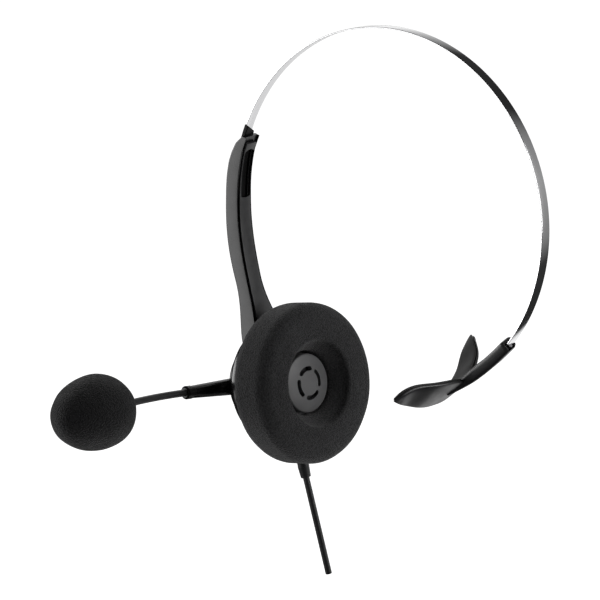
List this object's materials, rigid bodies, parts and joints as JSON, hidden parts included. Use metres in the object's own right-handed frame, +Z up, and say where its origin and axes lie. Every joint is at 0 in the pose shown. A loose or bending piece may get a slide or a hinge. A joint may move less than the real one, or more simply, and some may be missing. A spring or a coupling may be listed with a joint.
{
  "type": "office headset",
  "caption": "Single-ear office headset with a slide-adjusted steel headband, foam ear cushion, rotating flexible microphone boom and a swivelling T-bar temple rest.",
  "frame": {"origin": "centre of the headband's circular arc, in the strip's middle plane", "axes": "+Z up towards the crown, -X towards the ear cup and +X towards the T-bar, -Y forwards, the way the microphone boom points"},
  "size_m": [0.1542, 0.1442, 0.2165],
  "materials": {
    "band_steel": "polished spring steel strip",
    "bright_steel": "zinc-plated steel hardware",
    "magnet_steel": "nickel-plated magnet and pole piece",
    "gloss_black": "injection-moulded ABS with a light gloss",
    "satin_black": "injection-moulded ABS with a satin grain",
    "grille_grey": "fine-textured grey ABS",
    "soft_rubber": "soft-touch rubber",
    "cable_pvc": "flexible PVC jacket",
    "foam": "open-cell foam with fine pores",
    "mesh_cloth": "acoustic cloth",
    "film": "thin polyester film",
    "board": "glass-fibre circuit board",
    "copper": "enamelled copper wire"
  },
  "bodies": {
    "headband_ear": {"band_ear_half": "band_steel", "slider_tongue": "gloss_black", "tongue_rivet": "bright_steel", "detent_spring": "bright_steel"},
    "headband_tip": {"band_tip_half": "band_steel", "tbar_stem": "bright_steel"},
    "tbar": {"tbar_shell": "satin_black", "tbar_pad": "soft_rubber"},
    "ear_cup": {"arm_outer_shell": "gloss_black", "arm_inner_cover": "gloss_black", "speaker_housing": "gloss_black", "housing_screws": "bright_steel", "baffle": "satin_black", "speaker_frame": "satin_black", "speaker_magnet": "magnet_steel", "voice_coil": "copper", "speaker_diaphragm": "film", "terminal_board": "board", "grille_cap": "grille_grey", "grille_mesh": "mesh_cloth", "ear_cushion": "foam", "cable_relief": "cable_pvc", "cable_root": "cable_pvc", "friction_washer": "soft_rubber", "hub_retainer": "bright_steel", "pivot_screw": "bright_steel"},
    "boom": {"boom_hub": "satin_black", "hub_cap": "gloss_black", "boom_boot": "gloss_black", "boot_collar": "gloss_black", "boom_tube_root": "cable_pvc", "gooseneck_wire_root": "copper"},
    "microphone": {"boom_tube_tip": "cable_pvc", "gooseneck_wire_tip": "copper", "mic_housing": "satin_black", "mic_capsule": "magnet_steel", "mic_mesh": "mesh_cloth", "windscreen": "foam"},
    "cable": {"cable_tail": "cable_pvc", "cable_cores": "copper"}
  },
  "joints": [
    {"name": "size_slider", "type": "hinge", "parent": "headband_ear", "child": "ear_cup", "pos_m": [0, 0, 0], "axis": [0, -1, 0], "range_deg": [-2, 16]},
    {"name": "headband_flex", "type": "hinge", "parent": "headband_ear", "child": "headband_tip", "pos_m": [0.01455, 0, 0.06847], "axis": [0, -1, 0], "range_deg": [-5, 30], "stiffness_Nm_per_rad": 0.35},
    {"name": "tbar_swivel", "type": "hinge", "parent": "headband_tip", "child": "tbar", "pos_m": [0.05528, 0.00005, -0.04325], "axis": [-0.7771, 0, -0.6293], "range_deg": [-6, 34]},
    {"name": "boom_rotate", "type": "hinge", "parent": "ear_cup", "child": "boom", "pos_m": [-0.06117, 0.0009, -0.07317], "axis": [0.9818, -0.1293, 0.1392], "range_deg": [-50, 205]},
    {"name": "boom_bend", "type": "hinge", "parent": "boom", "child": "microphone", "pos_m": [-0.06859, -0.05531, -0.07002], "axis": [0.3783, 0.002, 0.9257], "range_deg": [-30, 45]},
    {"name": "cable_flex", "type": "hinge", "parent": "ear_cup", "child": "cable", "pos_m": [-0.04246, 0.00558, -0.10959], "axis": [0.9818, -0.1293, 0.1392], "range_deg": [-35, 35]}
  ]
}
